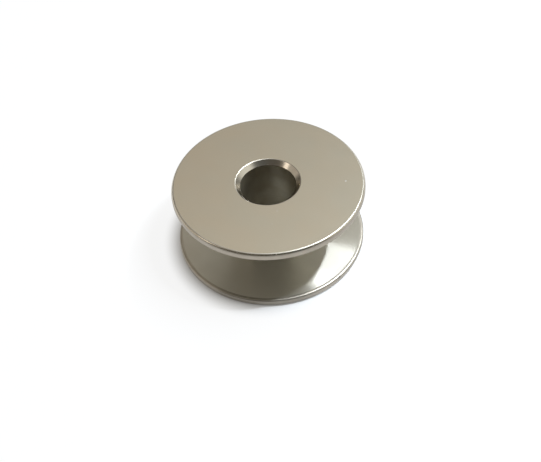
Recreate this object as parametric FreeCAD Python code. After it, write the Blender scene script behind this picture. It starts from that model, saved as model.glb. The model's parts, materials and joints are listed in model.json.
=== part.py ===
"""Sewing machine bobbin: one piece turned from steel, two plain flanges on a hollow barrel.

Millimetres. The axis is Z. The lower flange stands on the plane z = 0, with the origin at its centre.
"""
import FreeCAD, Part
import math
import os

# Driving dimensions
flange_diameter = 21.0
overall_width = 8.4
flange_thickness = 0.9
outer_edge_radius = 0.4
inner_edge_chamfer = 0.2
barrel_diameter = 8.0
bore_diameter = 6.1
bore_chamfer = 0.5
mouth_edge_break = 0.06

# Radii that follow from them
flange_radius = flange_diameter / 2
barrel_radius = barrel_diameter / 2
bore_radius = bore_diameter / 2
mouth_radius = bore_radius + bore_chamfer

# The edge break takes the same length off the 45 degree chamfer and off the flange's face
mouth_break_on_face = mouth_edge_break * math.sqrt(2)

AXIS_POINT = FreeCAD.Vector(0, 0, 0)
AXIS = FreeCAD.Vector(0, 0, 1)
SHARP = 0.0


def rounded_corner(before, corner, after, radius):
    """Both tangent points and the middle of the arc that rounds a corner of the profile."""
    to_before = (before - corner).normalize()
    to_after = (after - corner).normalize()
    half_angle = to_before.getAngle(to_after) / 2
    tangent_length = radius / math.tan(half_angle)
    apex_gap = radius / math.sin(half_angle) - radius
    middle = corner + (to_before + to_after).normalize() * apex_gap
    return corner + to_before * tangent_length, middle, corner + to_after * tangent_length


def profile_edges(corners):
    """Lines and tangent arcs round the closed half section, from its corners (radius, height, round)."""
    points = [FreeCAD.Vector(r, 0, z) for r, z, _ in corners]
    starts, ends, edges = [], [], []
    for index, (_, _, rounding) in enumerate(corners):
        corner = points[index]
        arc_start, arc_end = corner, corner
        if rounding > SHARP:
            after = points[(index + 1) % len(points)]
            arc_start, middle, arc_end = rounded_corner(points[index - 1], corner, after, rounding)
            edges.append(Part.Arc(arc_start, middle, arc_end).toShape())
        starts.append(arc_start)
        ends.append(arc_end)
    for index, line_start in enumerate(ends):
        line_end = starts[(index + 1) % len(starts)]
        edges.append(Part.LineSegment(line_start, line_end).toShape())
    return edges


def half_section():
    """Corners of the section on one side of the axis: out along the lower flange, up, and back down the bore."""
    lower = [
        (bore_radius, bore_chamfer, SHARP),
        (mouth_radius - mouth_edge_break, mouth_edge_break, SHARP),
        (mouth_radius + mouth_break_on_face, 0.0, SHARP),
        (flange_radius, 0.0, outer_edge_radius),
        (flange_radius, flange_thickness - inner_edge_chamfer, SHARP),
        (flange_radius - inner_edge_chamfer, flange_thickness, SHARP),
        (barrel_radius, flange_thickness, SHARP),
    ]
    upper = [(r, overall_width - z, rounding) for r, z, rounding in reversed(lower)]
    return lower + upper


def bobbin():
    """The half section turned once round the axis."""
    wire = Part.Wire(Part.__sortEdges__(profile_edges(half_section())))
    return Part.Face(wire).revolve(AXIS_POINT, AXIS, 360)


os.makedirs("parts", exist_ok=True)
bobbin().exportStep("parts/bobbin.step")
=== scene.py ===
import json
import math

import bpy
from mathutils import Matrix, Vector


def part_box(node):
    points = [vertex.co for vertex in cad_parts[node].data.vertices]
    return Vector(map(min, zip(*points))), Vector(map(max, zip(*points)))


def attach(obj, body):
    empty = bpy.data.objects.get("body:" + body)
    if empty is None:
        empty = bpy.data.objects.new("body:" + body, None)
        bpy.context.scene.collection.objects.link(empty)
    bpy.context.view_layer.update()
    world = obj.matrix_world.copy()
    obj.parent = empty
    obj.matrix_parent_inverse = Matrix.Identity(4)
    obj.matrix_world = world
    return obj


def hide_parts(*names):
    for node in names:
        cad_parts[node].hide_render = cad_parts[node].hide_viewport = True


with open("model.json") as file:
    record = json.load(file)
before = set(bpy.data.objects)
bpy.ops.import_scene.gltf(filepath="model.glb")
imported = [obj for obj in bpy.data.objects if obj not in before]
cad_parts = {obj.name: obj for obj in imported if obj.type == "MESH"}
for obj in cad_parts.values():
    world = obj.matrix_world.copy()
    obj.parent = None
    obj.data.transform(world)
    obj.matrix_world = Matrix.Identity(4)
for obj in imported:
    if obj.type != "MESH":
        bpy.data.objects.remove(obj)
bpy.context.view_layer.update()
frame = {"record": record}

MM = 0.001
QUARTER_TURN = math.pi / 2

# Sizes of the bobbin that the frame holds, in metres
NODE = "bobbin"
LOW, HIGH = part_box(NODE)
BORE = next(mount for mount in frame["record"]["mounts"] if mount["name"] == "bore")
FLANGE_RADIUS = (HIGH.x - LOW.x) / 2
WIDTH = HIGH.z - LOW.z
BORE_RADIUS = BORE["dims"]["r_mm"] * MM
BORE_CHAMFER = (WIDTH - BORE["dims"]["length_mm"] * MM) / 2
MOUTH_RADIUS = BORE_RADIUS + BORE_CHAMFER

# Sizes that the frame doesn't hold, as they are in the solid
FLANGE_THICKNESS = 0.9 * MM
BARREL_RADIUS = 4.0 * MM

# Edges as polish and wear leave them: the outer round is tighter beside the face than beside the rim
MOUTH_BREAK = 0.035 * MM
SHOULDER_RADIUS = 0.2 * MM
OUTER_EDGE_RADIUS = 0.45 * MM
INNER_EDGE_RADIUS = 0.24 * MM

# The plain ring beside the edge of a flange's inner face, which the turning marks don't reach, darkened with
# painted shade like the shoulders
INNER_RING_WIDTH = 0.15 * MM

# Where the finish and its painted shade change on the outer and the inner rounds, as shares of a quarter
# turn from the rim
POLISHED_FROM, POLISHED_TO = 0.35, 0.58
INNER_SHOULDER_FROM, INNER_SHOULDER_TO = 0.45, 0.72

# Zones that have another finish on the upper flange
UPPER_ZONES = {"groove": "underside"}

# Fineness of the turned mesh
TURN_STEPS = 360
ARC_STEPS = 10
RING_STEP = 0.8 * MM

# The camera: its picture and lens, where it stands, and the pixel where the middle of the upper face falls
IMAGE_WIDTH, IMAGE_HEIGHT = 541, 462
SENSOR_WIDTH_MM = 36.0
FOCAL_PIXELS = 853.0
CAMERA_DISTANCE = 92.2 * MM
CAMERA_ELEVATION = math.radians(44.55)
CAMERA_ROLL = math.radians(-4.11)
FACE_CENTRE_PIXEL = (267.85, 181.25)
CLIP_START, CLIP_END = 0.005, 10.0

# The key light: a thin bowed strip on the right, by azimuth and elevation in degrees from its low end up
KEY_BOW = ((45.0, 48.2), (7.4, 59.5), (0.3, 68.7))
KEY_LAMPS = 9
KEY_DISTANCE = 0.4
KEY_BREADTH = 0.008
KEY_IRRADIANCE = 4.15
KEY_COLOUR = (0.92, 1.0, 1.10)

# A weak small light on the left, towards the camera
SIDE_DIRECTION = Vector((-0.814, -0.229, 0.534))
SIDE_DISTANCE = 0.4
SIDE_SIZE = 0.09
SIDE_IRRADIANCE = 0.075
SIDE_COLOUR = (1.0, 0.90, 0.80)

# The soft surroundings: a warm left and a cooler right that meet round the middle, and levels by height
LEFT_COLOUR = (1.0, 0.92, 0.80)
RIGHT_COLOUR = (0.99, 0.995, 0.93)
COLOURS_MEET = (-0.2, 0.2)
HORIZON_LEVEL = 0.19
OVERHEAD_LEVEL = 0.585

# The dark side of the surroundings: its direction, the cosines where it begins and is full, and its level
DARK_SIDE_DIRECTION = Vector((-0.06, -1.0, 0.0))
DARK_SIDE_BEGIN, DARK_SIDE_FULL = 0.30, 0.54
DARK_SIDE_LEVEL = 0.10

# Soft panels, and screens that take light away: direction, the cosines where each begins and is full, level
PANELS = (
    (Vector((0.17, 0.44, 0.88)), 0.899, 0.99, 0.125),
    (Vector((0.547, 0.596, 0.588)), 0.93, 0.988, 0.63),
    (Vector((0.87, -0.10, 0.48)), 0.75, 0.97, 0.45),
    (Vector((-0.96, 0.16, 0.23)), 0.86, 0.97, 0.27),
    (Vector((-0.72, 0.12, 0.68)), 0.86, 0.98, -0.16),
    (Vector((-0.70, 0.71, 0.10)), 0.93, 0.985, -0.13),
)

# The floor: half its side, the lip at its edge, and its own grey and roughness
FLOOR_HALF = 0.9
FLOOR_LIP = 0.03
FLOOR_GREY = 0.72
FLOOR_ROUGHNESS = 0.9

# The share of white for camera and reflections, and the distances from the axis where it begins and is full
FLOOR_WHITE_SHARE = 0.88
WHITE_BEGIN, WHITE_FULL = FLANGE_RADIUS * 0.92, FLANGE_RADIUS * 1.2

# Colours of the plating: warm and cool patches, bright metal where it is rubbed, darker copies as painted
# shade on the shoulders, rims, inner faces and barrel, and the bore darkened as painted shade of its recess
WARM_NICKEL = (0.70, 0.632, 0.515)
COOL_NICKEL = (0.68, 0.632, 0.527)
POLISHED_NICKEL = (0.64, 0.573, 0.46)
RUBBED_NICKEL = (0.72, 0.68, 0.60)
# The shoulders and the plain rings: the plating darkened as painted shade, which dims the highlight beside
# the edges
SHOULDER_SHADED_NICKEL = (0.47, 0.435, 0.37)
SHOULDER_SHADED_RUBBED = (0.54, 0.505, 0.44)
# The rims: the plating darkened as painted shade, which dims what they reflect
RIM_SHADED_NICKEL = (0.38, 0.345, 0.29)
RIM_SHADED_RUBBED = (0.44, 0.40, 0.34)
CUT_NICKEL = (0.60, 0.54, 0.45)
# The inner faces and the barrel: the plating darkened as painted shade between the flanges, in random dull
# patches
GROOVE_SHADED_NICKEL = (0.585, 0.56, 0.495)
GROOVE_SHADED_DULL = (0.54, 0.515, 0.45)
# The bore: the plating darkened as painted shade of the recess, with darker stains in patches
BORE_SHADED_GREY = (0.39, 0.355, 0.275)
BORE_SHADED_STAIN = (0.32, 0.285, 0.215)

# How far the edges are rubbed at most, and how far the dull film on the inner faces leaves them metallic
MOST_RUBBED = 0.7
GROOVE_METALLIC = 0.87

# Patterns in the finishes: features to the millimetre, and the finer layers on them
PATCHES = (0.22, 2.0)
FACE_GRAIN = (7.0, 2.0)
FACE_SHEEN = (0.5, 2.0)
EDGE_WEAR = (0.9, 4.0)
EDGE_GRAIN = (5.0, 3.0)
EDGE_SHEEN = (1.3, 3.0)
GROOVE_PATCHES = (0.22, 3.0)
GROOVE_SHEEN = (0.6, 3.0)
CHAMFER_WEAR = (1.1, 3.0)
BORE_STAINS = (0.6, 4.0)

# The part of a pattern that is stretched over its whole range
PATTERN_FROM, PATTERN_TO = 0.25, 0.75

# Depth of the grain in millimetres
FACE_GRAIN_DEPTH = 0.0006
EDGE_GRAIN_DEPTH = 0.0012

# Tool marks: pitch and depth in millimetres
FACE_MARKS = (0.14, 0.0004)
GROOVE_MARKS = (0.16, 0.0006)
BARREL_MARKS = (0.12, 0.001)
CHAMFER_MARKS = (0.15, 0.0001)
BORE_MARKS = (0.2, 0.001)

# The finer layers on tool marks, and their share of full depth where they are faintest
MARK_DETAIL = 3.0
FAINTEST_MARKS = 0.35

# Roughness: a range, or a middle value and how far it drifts
FACE_ROUGHNESS = (0.26, 0.27)
BARREL_ROUGHNESS = (0.36, 0.46)
CHAMFER_ROUGHNESS = (0.19, 0.24)
BORE_ROUGHNESS = (0.46, 0.56)
POLISHED_ROUGHNESS = 0.25
BRUSHED_ROUGHNESS = 0.42
EDGE_DRIFT = 0.03
GROOVE_ROUGHNESS = 0.29
UNDERSIDE_ROUGHNESS = 0.40
GROOVE_DRIFT = 0.01

# How far turning stretches reflections, and the turn that lays the stretch across the marks
GROOVE_STRETCH = 1.0
UNDERSIDE_STRETCH = 0.5
BARREL_STRETCH = 0.8
STRETCH_ROTATION = 0.25

# Small raised specks on the upper face whose pale colour is a painted glint, by their middle and size in
# millimetres, and how bright each is
FACE_HEIGHT_MM = WIDTH / MM
GLINTING_SPECKS = (
    ((8.33, -0.80, FACE_HEIGHT_MM), 0.15, 0.8),
    ((0.73, -4.50, FACE_HEIGHT_MM), 0.10, 0.35),
    ((0.12, -6.30, FACE_HEIGHT_MM), 0.10, 0.30),
)
SPECK_GLINT_COLOUR = (0.95, 0.94, 0.92)
SPECK_HEIGHT = 0.003

# A stretch of painted shade along the front of the lower flange's edge, and a nick on it, by middle and size
# in millimetres, and strength
SHADE_AND_NICK_MARKS = (
    ((-1.5, -10.4, 0.5), 7.5, 0.46),
    ((6.99, -7.77, 0.72), 0.24, 0.55),
)
SHADE_AND_NICK_COLOUR = (0.15, 0.14, 0.12)

# The share of a spot's size inside which it is full
SPOT_CORE = 0.4

# Places of the colours among the sockets of a mix node, whose names repeat
MIX_FIRST, MIX_SECOND, MIX_RESULT = 6, 7, 2


def add_object(name, data):
    """A new object in the scene."""
    holder = bpy.data.objects.new(name, data)
    bpy.context.scene.collection.objects.link(holder)
    return holder


def line_run(start, end, zone):
    """A straight stretch of the section with its outward normal, cut into rings."""
    (r0, z0), (r1, z1) = start, end
    length = math.hypot(r1 - r0, z1 - z0)
    normal = ((z1 - z0) / length, (r0 - r1) / length)
    count = max(1, round(length / RING_STEP))
    points = []
    for step in range(count + 1):
        share = step / count
        points.append((r0 + (r1 - r0) * share, z0 + (z1 - z0) * share, *normal))
    return zone, points


def arc_run(centre, radius, start_angle, end_angle, zone):
    """A rounded edge of the section: normals point away from the centre of the round."""
    points = []
    for step in range(ARC_STEPS + 1):
        angle = start_angle + (end_angle - start_angle) * step / ARC_STEPS
        nr, nz = math.cos(angle), math.sin(angle)
        points.append((centre[0] + radius * nr, centre[1] + radius * nz, nr, nz))
    return zone, points


def lower_runs():
    """The section from the bore's lower end out along the flange, over the rim and in to the barrel."""
    break_start = (MOUTH_RADIUS - MOUTH_BREAK, MOUTH_BREAK)
    face_start = (MOUTH_RADIUS + MOUTH_BREAK * math.sqrt(2), 0.0)
    meeting = -QUARTER_TURN * POLISHED_TO
    polished_end = -QUARTER_TURN * POLISHED_FROM
    growth = OUTER_EDGE_RADIUS - SHOULDER_RADIUS
    outer_centre = (FLANGE_RADIUS - OUTER_EDGE_RADIUS, SHOULDER_RADIUS - growth * math.sin(meeting))
    shoulder_centre = (outer_centre[0] + growth * math.cos(meeting), SHOULDER_RADIUS)
    inner_centre = (FLANGE_RADIUS - INNER_EDGE_RADIUS, FLANGE_THICKNESS - INNER_EDGE_RADIUS)
    inner_from = QUARTER_TURN * INNER_SHOULDER_FROM
    inner_to = QUARTER_TURN * INNER_SHOULDER_TO
    ring_start = (inner_centre[0], FLANGE_THICKNESS)
    ring_end = (inner_centre[0] - INNER_RING_WIDTH, FLANGE_THICKNESS)
    return [
        line_run((BORE_RADIUS, BORE_CHAMFER), break_start, "chamfer"),
        line_run(break_start, face_start, "rim"),
        line_run(face_start, (shoulder_centre[0], 0.0), "face"),
        arc_run(shoulder_centre, SHOULDER_RADIUS, -QUARTER_TURN, meeting, "shoulder"),
        arc_run(outer_centre, OUTER_EDGE_RADIUS, meeting, polished_end, "edge"),
        arc_run(outer_centre, OUTER_EDGE_RADIUS, polished_end, 0.0, "rim"),
        line_run((FLANGE_RADIUS, outer_centre[1]), (FLANGE_RADIUS, inner_centre[1]), "rim"),
        arc_run(inner_centre, INNER_EDGE_RADIUS, 0.0, inner_from, "rim"),
        arc_run(inner_centre, INNER_EDGE_RADIUS, inner_from, inner_to, "shoulder"),
        arc_run(inner_centre, INNER_EDGE_RADIUS, inner_to, QUARTER_TURN, "rim"),
        line_run(ring_start, ring_end, "shoulder"),
        line_run(ring_end, (BARREL_RADIUS, FLANGE_THICKNESS), "groove"),
    ]


def section_runs():
    """The closed section: the lower flange, the barrel, the upper flange mirrored, and the bore."""
    lower = lower_runs()
    upper = []
    for zone, points in reversed(lower):
        mirrored = [(r, WIDTH - z, nr, -nz) for r, z, nr, nz in reversed(points)]
        upper.append((UPPER_ZONES.get(zone, zone), mirrored))
    groove_top = WIDTH - FLANGE_THICKNESS
    barrel = line_run((BARREL_RADIUS, FLANGE_THICKNESS), (BARREL_RADIUS, groove_top), "barrel")
    bore = line_run((BORE_RADIUS, WIDTH - BORE_CHAMFER), (BORE_RADIUS, BORE_CHAMFER), "bore")
    return lower + [barrel] + upper + [bore]


def turned(radius, height, angle):
    """A point or a normal of the section, turned round the axis."""
    return radius * math.cos(angle), radius * math.sin(angle), height


def turned_mesh(name, runs, zones):
    """The section turned round the axis as one closed mesh, with the exact normals of the turned surface."""
    rings = [point for _, points in runs for point in points[:-1]]
    angles = [2 * math.pi * step / TURN_STEPS for step in range(TURN_STEPS)]
    vertices = [turned(r, z, angle) for r, z, _, _ in rings for angle in angles]
    faces, slots, normals = [], [], []
    ring = 0
    for zone, points in runs:
        for here, there in zip(points, points[1:]):
            after = (ring + 1) % len(rings)
            for step in range(TURN_STEPS):
                beside = (step + 1) % TURN_STEPS
                corners = (
                    (ring, step, here),
                    (ring, beside, here),
                    (after, beside, there),
                    (after, step, there),
                )
                faces.append([index * TURN_STEPS + turn for index, turn, _ in corners])
                slots.append(zones.index(zone))
                normals.extend(turned(nr, nz, angles[turn]) for _, turn, (_, _, nr, nz) in corners)
            ring += 1
    mesh = bpy.data.meshes.new(name)
    mesh.from_pydata(vertices, [], faces)
    mesh.polygons.foreach_set("use_smooth", [True] * len(faces))
    mesh.polygons.foreach_set("material_index", slots)
    mesh.normals_split_custom_set(normals)
    mesh.update()
    return mesh


def add_node(tree, kind, **settings):
    """A new node with its settings."""
    node = tree.nodes.new(kind)
    for name, value in settings.items():
        setattr(node, name, value)
    return node


def feed(tree, socket, value):
    """Link an output to an input, or set a plain value on it."""
    if isinstance(value, bpy.types.NodeSocket):
        tree.links.new(value, socket)
    else:
        socket.default_value = value


def calculate(tree, operation, *values):
    """The output of a Math node."""
    node = add_node(tree, "ShaderNodeMath", operation=operation)
    for socket, value in zip(node.inputs, values):
        feed(tree, socket, value)
    return node.outputs["Value"]


def ramp(tree, value, start, end, low=0.0, high=1.0):
    """A smooth step from low at start to high at end."""
    node = add_node(tree, "ShaderNodeMapRange", interpolation_type="SMOOTHSTEP")
    for socket, given in zip(node.inputs, (value, start, end, low, high)):
        feed(tree, socket, given)
    return node.outputs["Result"]


def spread(tree, pattern, low, high):
    """A pattern from 0 to 1, whose middle part is stretched to run from low to high."""
    return ramp(tree, pattern, PATTERN_FROM, PATTERN_TO, low, high)


def blend(tree, factor, first, second):
    """A colour between two others."""
    node = add_node(tree, "ShaderNodeMix", data_type="RGBA")
    feed(tree, node.inputs["Factor"], factor)
    for place, colour in ((MIX_FIRST, first), (MIX_SECOND, second)):
        given = colour if isinstance(colour, bpy.types.NodeSocket) else (*colour, 1.0)
        feed(tree, node.inputs[place], given)
    return node.outputs[MIX_RESULT]


def bump(tree, height, depth, normal=None):
    """A normal tilted by a height pattern that is depth millimetres deep."""
    node = add_node(tree, "ShaderNodeBump")
    feed(tree, node.inputs["Distance"], depth * MM)
    feed(tree, node.inputs["Height"], height)
    if normal is not None:
        feed(tree, node.inputs["Normal"], normal)
    return node.outputs["Normal"]


def ring_noise(tree, distance, pitch):
    """Noise from 0 to 1 that changes along one distance only, as a tool's marks do."""
    node = add_node(tree, "ShaderNodeTexNoise", noise_dimensions="1D")
    feed(tree, node.inputs["W"], distance)
    feed(tree, node.inputs["Scale"], 1.0 / pitch)
    feed(tree, node.inputs["Detail"], MARK_DETAIL)
    return node.outputs["Fac"]


class Metal:
    """A metal material being made, and where on the bobbin a point lies, in millimetres."""

    def __init__(self, name):
        self.material = bpy.data.materials.new(name)
        self.material.use_nodes = True
        self.tree = self.material.node_tree
        self.shader = self.tree.nodes["Principled BSDF"]
        self.feed("Metallic", 1.0)
        place = add_node(self.tree, "ShaderNodeVectorMath", operation="SCALE")
        feed(self.tree, place.inputs[0], add_node(self.tree, "ShaderNodeTexCoord").outputs["Object"])
        feed(self.tree, place.inputs["Scale"], 1.0 / MM)
        self.place = place.outputs["Vector"]
        split = add_node(self.tree, "ShaderNodeSeparateXYZ")
        feed(self.tree, split.inputs["Vector"], self.place)
        self.height = split.outputs["Z"]
        across = calculate(self.tree, "POWER", split.outputs["X"], 2.0)
        along = calculate(self.tree, "POWER", split.outputs["Y"], 2.0)
        self.radius = calculate(self.tree, "SQRT", calculate(self.tree, "ADD", across, along))

    def feed(self, socket, value):
        """Link an output to an input of the shader, or set a plain value on it."""
        feed(self.tree, self.shader.inputs[socket], value)

    def noise(self, pattern):
        """Soft noise from 0 to 1 over the bobbin."""
        scale, detail = pattern
        node = add_node(self.tree, "ShaderNodeTexNoise")
        feed(self.tree, node.inputs["Vector"], self.place)
        feed(self.tree, node.inputs["Scale"], scale)
        feed(self.tree, node.inputs["Detail"], detail)
        return node.outputs["Fac"]

    def varied(self, pattern, low, high):
        """A value that drifts between low and high over the bobbin."""
        return spread(self.tree, self.noise(pattern), low, high)

    def marks(self, distance, pitch):
        """Tool marks along a distance, deeper in some places than in others."""
        rings = ring_noise(self.tree, distance, pitch)
        return calculate(self.tree, "MULTIPLY", rings, self.varied(PATCHES, FAINTEST_MARKS, 1.0))

    def cut(self, marks, roughness):
        """Roughen and tilt the surface by the marks of a tool that moved along the axis."""
        pitch, depth = marks
        rings = self.marks(self.height, pitch)
        self.feed("Roughness", spread(self.tree, rings, *roughness))
        self.feed("Normal", bump(self.tree, rings, depth))

    def stretch(self, amount):
        """Stretch reflections across marks that run round the axis."""
        self.feed("Anisotropic", amount)
        self.feed("Anisotropic Rotation", STRETCH_ROTATION)
        tangent = add_node(self.tree, "ShaderNodeTangent", direction_type="RADIAL", axis="Z")
        self.feed("Tangent", tangent.outputs["Tangent"])

    def spot(self, centre, size):
        """1 inside a round spot and 0 outside it."""
        gap = add_node(self.tree, "ShaderNodeVectorMath", operation="DISTANCE")
        feed(self.tree, gap.inputs[0], self.place)
        feed(self.tree, gap.inputs[1], centre)
        return ramp(self.tree, gap.outputs["Value"], size, size * SPOT_CORE)


def face_finish():
    """The flat outer faces: satin plating over very fine turning marks, with a few small raised specks whose
    pale colour is a painted glint.
    """
    metal = Metal("satin_face")
    tree = metal.tree
    pitch, depth = FACE_MARKS
    colour = blend(tree, metal.varied(PATCHES, 0.0, 1.0), WARM_NICKEL, COOL_NICKEL)
    normal = bump(tree, metal.marks(metal.radius, pitch), depth)
    normal = bump(tree, metal.noise(FACE_GRAIN), FACE_GRAIN_DEPTH, normal)
    # Each speck: a painted glint in its colour, and a small bump
    for centre, size, brightness in GLINTING_SPECKS:
        spot = metal.spot(centre, size)
        colour = blend(tree, calculate(tree, "MULTIPLY", spot, brightness), colour, SPECK_GLINT_COLOUR)
        normal = bump(tree, spot, SPECK_HEIGHT * brightness, normal)
    metal.feed("Base Color", colour)
    metal.feed("Roughness", metal.varied(FACE_SHEEN, *FACE_ROUGHNESS))
    metal.feed("Normal", normal)
    return metal.material


def edge_finish(name, roughness, plain, rubbed):
    """The edges and the rims: rubbed brighter in places, with painted shade along the front of the lower
    flange's edge, and dark at a nick.
    """
    metal = Metal(name)
    tree = metal.tree
    colour = blend(tree, metal.varied(EDGE_WEAR, 0.0, MOST_RUBBED), plain, rubbed)
    # Painted shade along the front of the lower edge, and a dark nick
    for centre, size, strength in SHADE_AND_NICK_MARKS:
        spot = metal.spot(centre, size)
        colour = blend(tree, calculate(tree, "MULTIPLY", spot, strength), colour, SHADE_AND_NICK_COLOUR)
    metal.feed("Base Color", colour)
    metal.feed("Roughness", metal.varied(EDGE_SHEEN, roughness - EDGE_DRIFT, roughness + EDGE_DRIFT))
    metal.feed("Normal", bump(tree, metal.noise(EDGE_GRAIN), EDGE_GRAIN_DEPTH))
    return metal.material


def groove_finish(name, stretch, roughness):
    """A flange's inner face: turned, so that light spreads across the marks, under a thin dull film, its
    colour darkened as painted shade between the flanges.
    """
    metal = Metal(name)
    tree = metal.tree
    pitch, depth = GROOVE_MARKS
    metal.stretch(stretch)
    metal.feed("Metallic", GROOVE_METALLIC)
    patches = metal.varied(GROOVE_PATCHES, 0.0, 1.0)
    metal.feed("Base Color", blend(tree, patches, GROOVE_SHADED_NICKEL, GROOVE_SHADED_DULL))
    metal.feed("Roughness", metal.varied(GROOVE_SHEEN, roughness - GROOVE_DRIFT, roughness + GROOVE_DRIFT))
    metal.feed("Normal", bump(tree, ring_noise(tree, metal.radius, pitch), depth))
    return metal.material


def barrel_finish():
    """The barrel: turned marks that run round it, on nickel darkened as painted shade between the flanges.
    """
    metal = Metal("turned_barrel_painted_shade")
    metal.stretch(BARREL_STRETCH)
    metal.feed("Base Color", blend(metal.tree, metal.noise(PATCHES), GROOVE_SHADED_NICKEL, GROOVE_SHADED_DULL))
    metal.cut(BARREL_MARKS, BARREL_ROUGHNESS)
    return metal.material


def chamfer_finish():
    """The bore's chamfers: cut clean and left bright."""
    metal = Metal("cut_chamfer")
    metal.feed("Base Color", blend(metal.tree, metal.noise(CHAMFER_WEAR), CUT_NICKEL, RUBBED_NICKEL))
    metal.cut(CHAMFER_MARKS, CHAMFER_ROUGHNESS)
    return metal.material


def bore_finish():
    """The bore: reamed and a little stained, its grey darkened as painted shade of the recess."""
    metal = Metal("reamed_bore_painted_shade")
    stains = metal.varied(BORE_STAINS, 0.0, 1.0)
    metal.feed("Base Color", blend(metal.tree, stains, BORE_SHADED_GREY, BORE_SHADED_STAIN))
    metal.cut(BORE_MARKS, BORE_ROUGHNESS)
    return metal.material


def finishes():
    """The finish of each zone of the section, with painted shade in the colours of the shoulders, rims,
    inner faces, barrel and bore.
    """
    return {
        "face": face_finish(),
        "edge": edge_finish("polished_edge", POLISHED_ROUGHNESS, POLISHED_NICKEL, RUBBED_NICKEL),
        "shoulder": edge_finish("brushed_shoulder_painted_shade", BRUSHED_ROUGHNESS, SHOULDER_SHADED_NICKEL, SHOULDER_SHADED_RUBBED),
        "rim": edge_finish("brushed_rim_painted_shade", BRUSHED_ROUGHNESS, RIM_SHADED_NICKEL, RIM_SHADED_RUBBED),
        "groove": groove_finish("turned_groove_painted_shade", GROOVE_STRETCH, GROOVE_ROUGHNESS),
        "underside": groove_finish("turned_underside_painted_shade", UNDERSIDE_STRETCH, UNDERSIDE_ROUGHNESS),
        "barrel": barrel_finish(),
        "chamfer": chamfer_finish(),
        "bore": bore_finish(),
    }


def build_bobbin():
    """The turned body with its finishes, standing for the solid."""
    finish = finishes()
    zones = list(finish)
    body = add_object("turned_bobbin", turned_mesh("turned_bobbin", section_runs(), zones))
    for zone in zones:
        body.data.materials.append(finish[zone])
    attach(body, "root")
    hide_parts(NODE)


def floor_material():
    """A pale matt floor; to the camera and in reflections it is nearer to white, and it keeps the shadow."""
    material = bpy.data.materials.new("pale_floor")
    material.use_nodes = True
    tree = material.node_tree
    matt = tree.nodes["Principled BSDF"]
    feed(tree, matt.inputs["Base Color"], (FLOOR_GREY, FLOOR_GREY, FLOOR_GREY, 1.0))
    feed(tree, matt.inputs["Roughness"], FLOOR_ROUGHNESS)
    feed(tree, matt.inputs["Specular IOR Level"], 0.0)
    path = add_node(tree, "ShaderNodeLightPath")
    seen = calculate(tree, "MAXIMUM", path.outputs["Is Camera Ray"], path.outputs["Is Glossy Ray"])
    seen = calculate(tree, "MAXIMUM", seen, path.outputs["Is Transmission Ray"])
    reach = add_node(tree, "ShaderNodeVectorMath", operation="LENGTH")
    feed(tree, reach.inputs[0], add_node(tree, "ShaderNodeNewGeometry").outputs["Position"])
    open_floor = ramp(tree, reach.outputs["Value"], WHITE_BEGIN, WHITE_FULL)
    seen_open = calculate(tree, "MULTIPLY", seen, open_floor)
    mix = add_node(tree, "ShaderNodeMixShader")
    feed(tree, mix.inputs["Fac"], calculate(tree, "MULTIPLY", seen_open, FLOOR_WHITE_SHARE))
    feed(tree, mix.inputs[1], matt.outputs["BSDF"])
    feed(tree, mix.inputs[2], add_node(tree, "ShaderNodeEmission").outputs["Emission"])
    feed(tree, tree.nodes["Material Output"].inputs["Surface"], mix.outputs["Shader"])
    return material


def build_floor():
    """A plain pale floor under the bobbin, with a low upright lip at its edge."""
    square = [(x * FLOOR_HALF, y * FLOOR_HALF) for x, y in ((-1, -1), (1, -1), (1, 1), (-1, 1))]
    sides = len(square)
    corners = [(x, y, z) for z in (0.0, FLOOR_LIP) for x, y in square]
    faces = [tuple(range(sides))]
    for side in range(sides):
        beside = (side + 1) % sides
        faces.append((side, side + sides, beside + sides, beside))
    mesh = bpy.data.meshes.new("floor")
    mesh.from_pydata(corners, [], faces)
    floor = add_object("floor", mesh)
    floor.data.materials.append(floor_material())


def cosine_to(tree, facing, direction):
    """The cosine of the angle between where a ray goes and a direction."""
    node = add_node(tree, "ShaderNodeVectorMath", operation="DOT_PRODUCT")
    feed(tree, node.inputs[0], facing)
    feed(tree, node.inputs[1], direction.normalized())
    return node.outputs["Value"]


def build_world():
    """Soft surroundings: brighter overhead, with soft panels and screens, and dark on the camera's side."""
    world = bpy.data.worlds.new("studio")
    bpy.context.scene.world = world
    world.use_nodes = True
    tree = world.node_tree
    facing = add_node(tree, "ShaderNodeTexCoord").outputs["Generated"]
    split = add_node(tree, "ShaderNodeSeparateXYZ")
    feed(tree, split.inputs["Vector"], facing)
    level = ramp(tree, split.outputs["Z"], 0.0, 1.0, HORIZON_LEVEL, OVERHEAD_LEVEL)
    for direction, begin, full, panel_level in PANELS:
        panel = ramp(tree, cosine_to(tree, facing, direction), begin, full, 0.0, panel_level)
        level = calculate(tree, "ADD", level, panel)
    dark = ramp(tree, cosine_to(tree, facing, DARK_SIDE_DIRECTION), DARK_SIDE_BEGIN, DARK_SIDE_FULL)
    level = calculate(tree, "MULTIPLY", level, calculate(tree, "SUBTRACT", 1.0, dark))
    level = calculate(tree, "ADD", level, calculate(tree, "MULTIPLY", dark, DARK_SIDE_LEVEL))
    rightness = ramp(tree, split.outputs["X"], *COLOURS_MEET)
    background = tree.nodes["Background"]
    feed(tree, background.inputs["Color"], blend(tree, rightness, LEFT_COLOUR, RIGHT_COLOUR))
    feed(tree, background.inputs["Strength"], level)


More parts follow.
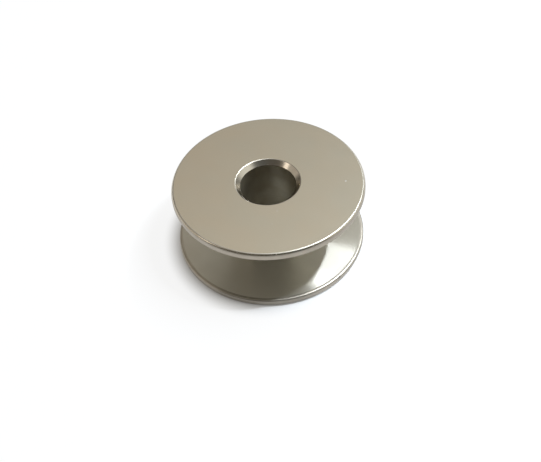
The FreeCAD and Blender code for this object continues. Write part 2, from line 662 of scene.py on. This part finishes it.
def add_lamp(name, direction, along, distance, size, irradiance, colour):
    """A flat lamp that faces the bobbin from a direction, its length lying along another."""
    lamp = bpy.data.lights.new(name, "AREA")
    lamp.shape = "RECTANGLE"
    lamp.size, lamp.size_y = size
    lamp.energy = irradiance * math.pi * distance ** 2
    lamp.color = colour
    back = direction.normalized()
    side = (along - back * along.dot(back)).normalized()
    axes = Matrix((side, back.cross(side), back)).transposed()
    add_object(name, lamp).matrix_world = Matrix.Translation(back * distance) @ axes.to_4x4()


def key_direction(share):
    """The direction of a point on the key light's bow: the quadratic through its ends and its middle."""
    weights = ((2 * share - 1) * (share - 1), 4 * share * (1 - share), share * (2 * share - 1))
    turn = math.radians(sum(weight * azimuth for weight, (azimuth, _) in zip(weights, KEY_BOW)))
    rise = math.radians(sum(weight * elevation for weight, (_, elevation) in zip(weights, KEY_BOW)))
    return Vector((math.cos(turn) * math.cos(rise), math.sin(turn) * math.cos(rise), math.sin(rise)))


def build_key_light():
    """The bowed strip, as short flat lamps end to end."""
    irradiance = KEY_IRRADIANCE / KEY_LAMPS
    for lamp in range(KEY_LAMPS):
        start, middle, end = (key_direction((lamp + part) / KEY_LAMPS) for part in (0.0, 0.5, 1.0))
        run = end - start
        size = (run.length * KEY_DISTANCE, KEY_BREADTH)
        add_lamp("key_%d" % lamp, middle, run, KEY_DISTANCE, size, irradiance, KEY_COLOUR)


def build_side_light():
    """The weak light, as a flat square lamp that stands upright."""
    upright = Vector((0.0, 0.0, 1.0))
    size = (SIDE_SIZE, SIDE_SIZE)
    add_lamp("side", SIDE_DIRECTION, upright, SIDE_DISTANCE, size, SIDE_IRRADIANCE, SIDE_COLOUR)


def build_camera():
    """A pinhole camera that puts the middle of the upper face at its pixel."""
    target = Vector((0.0, 0.0, HIGH.z))
    back = Vector((0.0, -math.cos(CAMERA_ELEVATION), math.sin(CAMERA_ELEVATION)))
    eye = target + back * CAMERA_DISTANCE
    right = Vector((1.0, 0.0, 0.0))
    up = back.cross(right)
    rolled_right = right * math.cos(CAMERA_ROLL) + up * math.sin(CAMERA_ROLL)
    rolled_up = up * math.cos(CAMERA_ROLL) - right * math.sin(CAMERA_ROLL)
    across = (FACE_CENTRE_PIXEL[0] - IMAGE_WIDTH / 2) / FOCAL_PIXELS
    rise = (IMAGE_HEIGHT / 2 - FACE_CENTRE_PIXEL[1]) / FOCAL_PIXELS
    forward = (-back - rolled_right * across - rolled_up * rise).normalized()
    view_right = (rolled_right - forward * rolled_right.dot(forward)).normalized()
    view_up = view_right.cross(forward)
    lens = bpy.data.cameras.new("camera")
    lens.sensor_width = SENSOR_WIDTH_MM
    lens.lens = FOCAL_PIXELS * SENSOR_WIDTH_MM / IMAGE_WIDTH
    lens.clip_start = CLIP_START
    lens.clip_end = CLIP_END
    camera = add_object("camera", lens)
    axes = Matrix((view_right, view_up, -forward)).transposed()
    camera.matrix_world = Matrix.Translation(eye) @ axes.to_4x4()
    bpy.context.scene.camera = camera


build_bobbin()
build_floor()
build_world()
build_key_light()
build_side_light()
build_camera()
bpy.context.scene.view_settings.view_transform = "Standard"
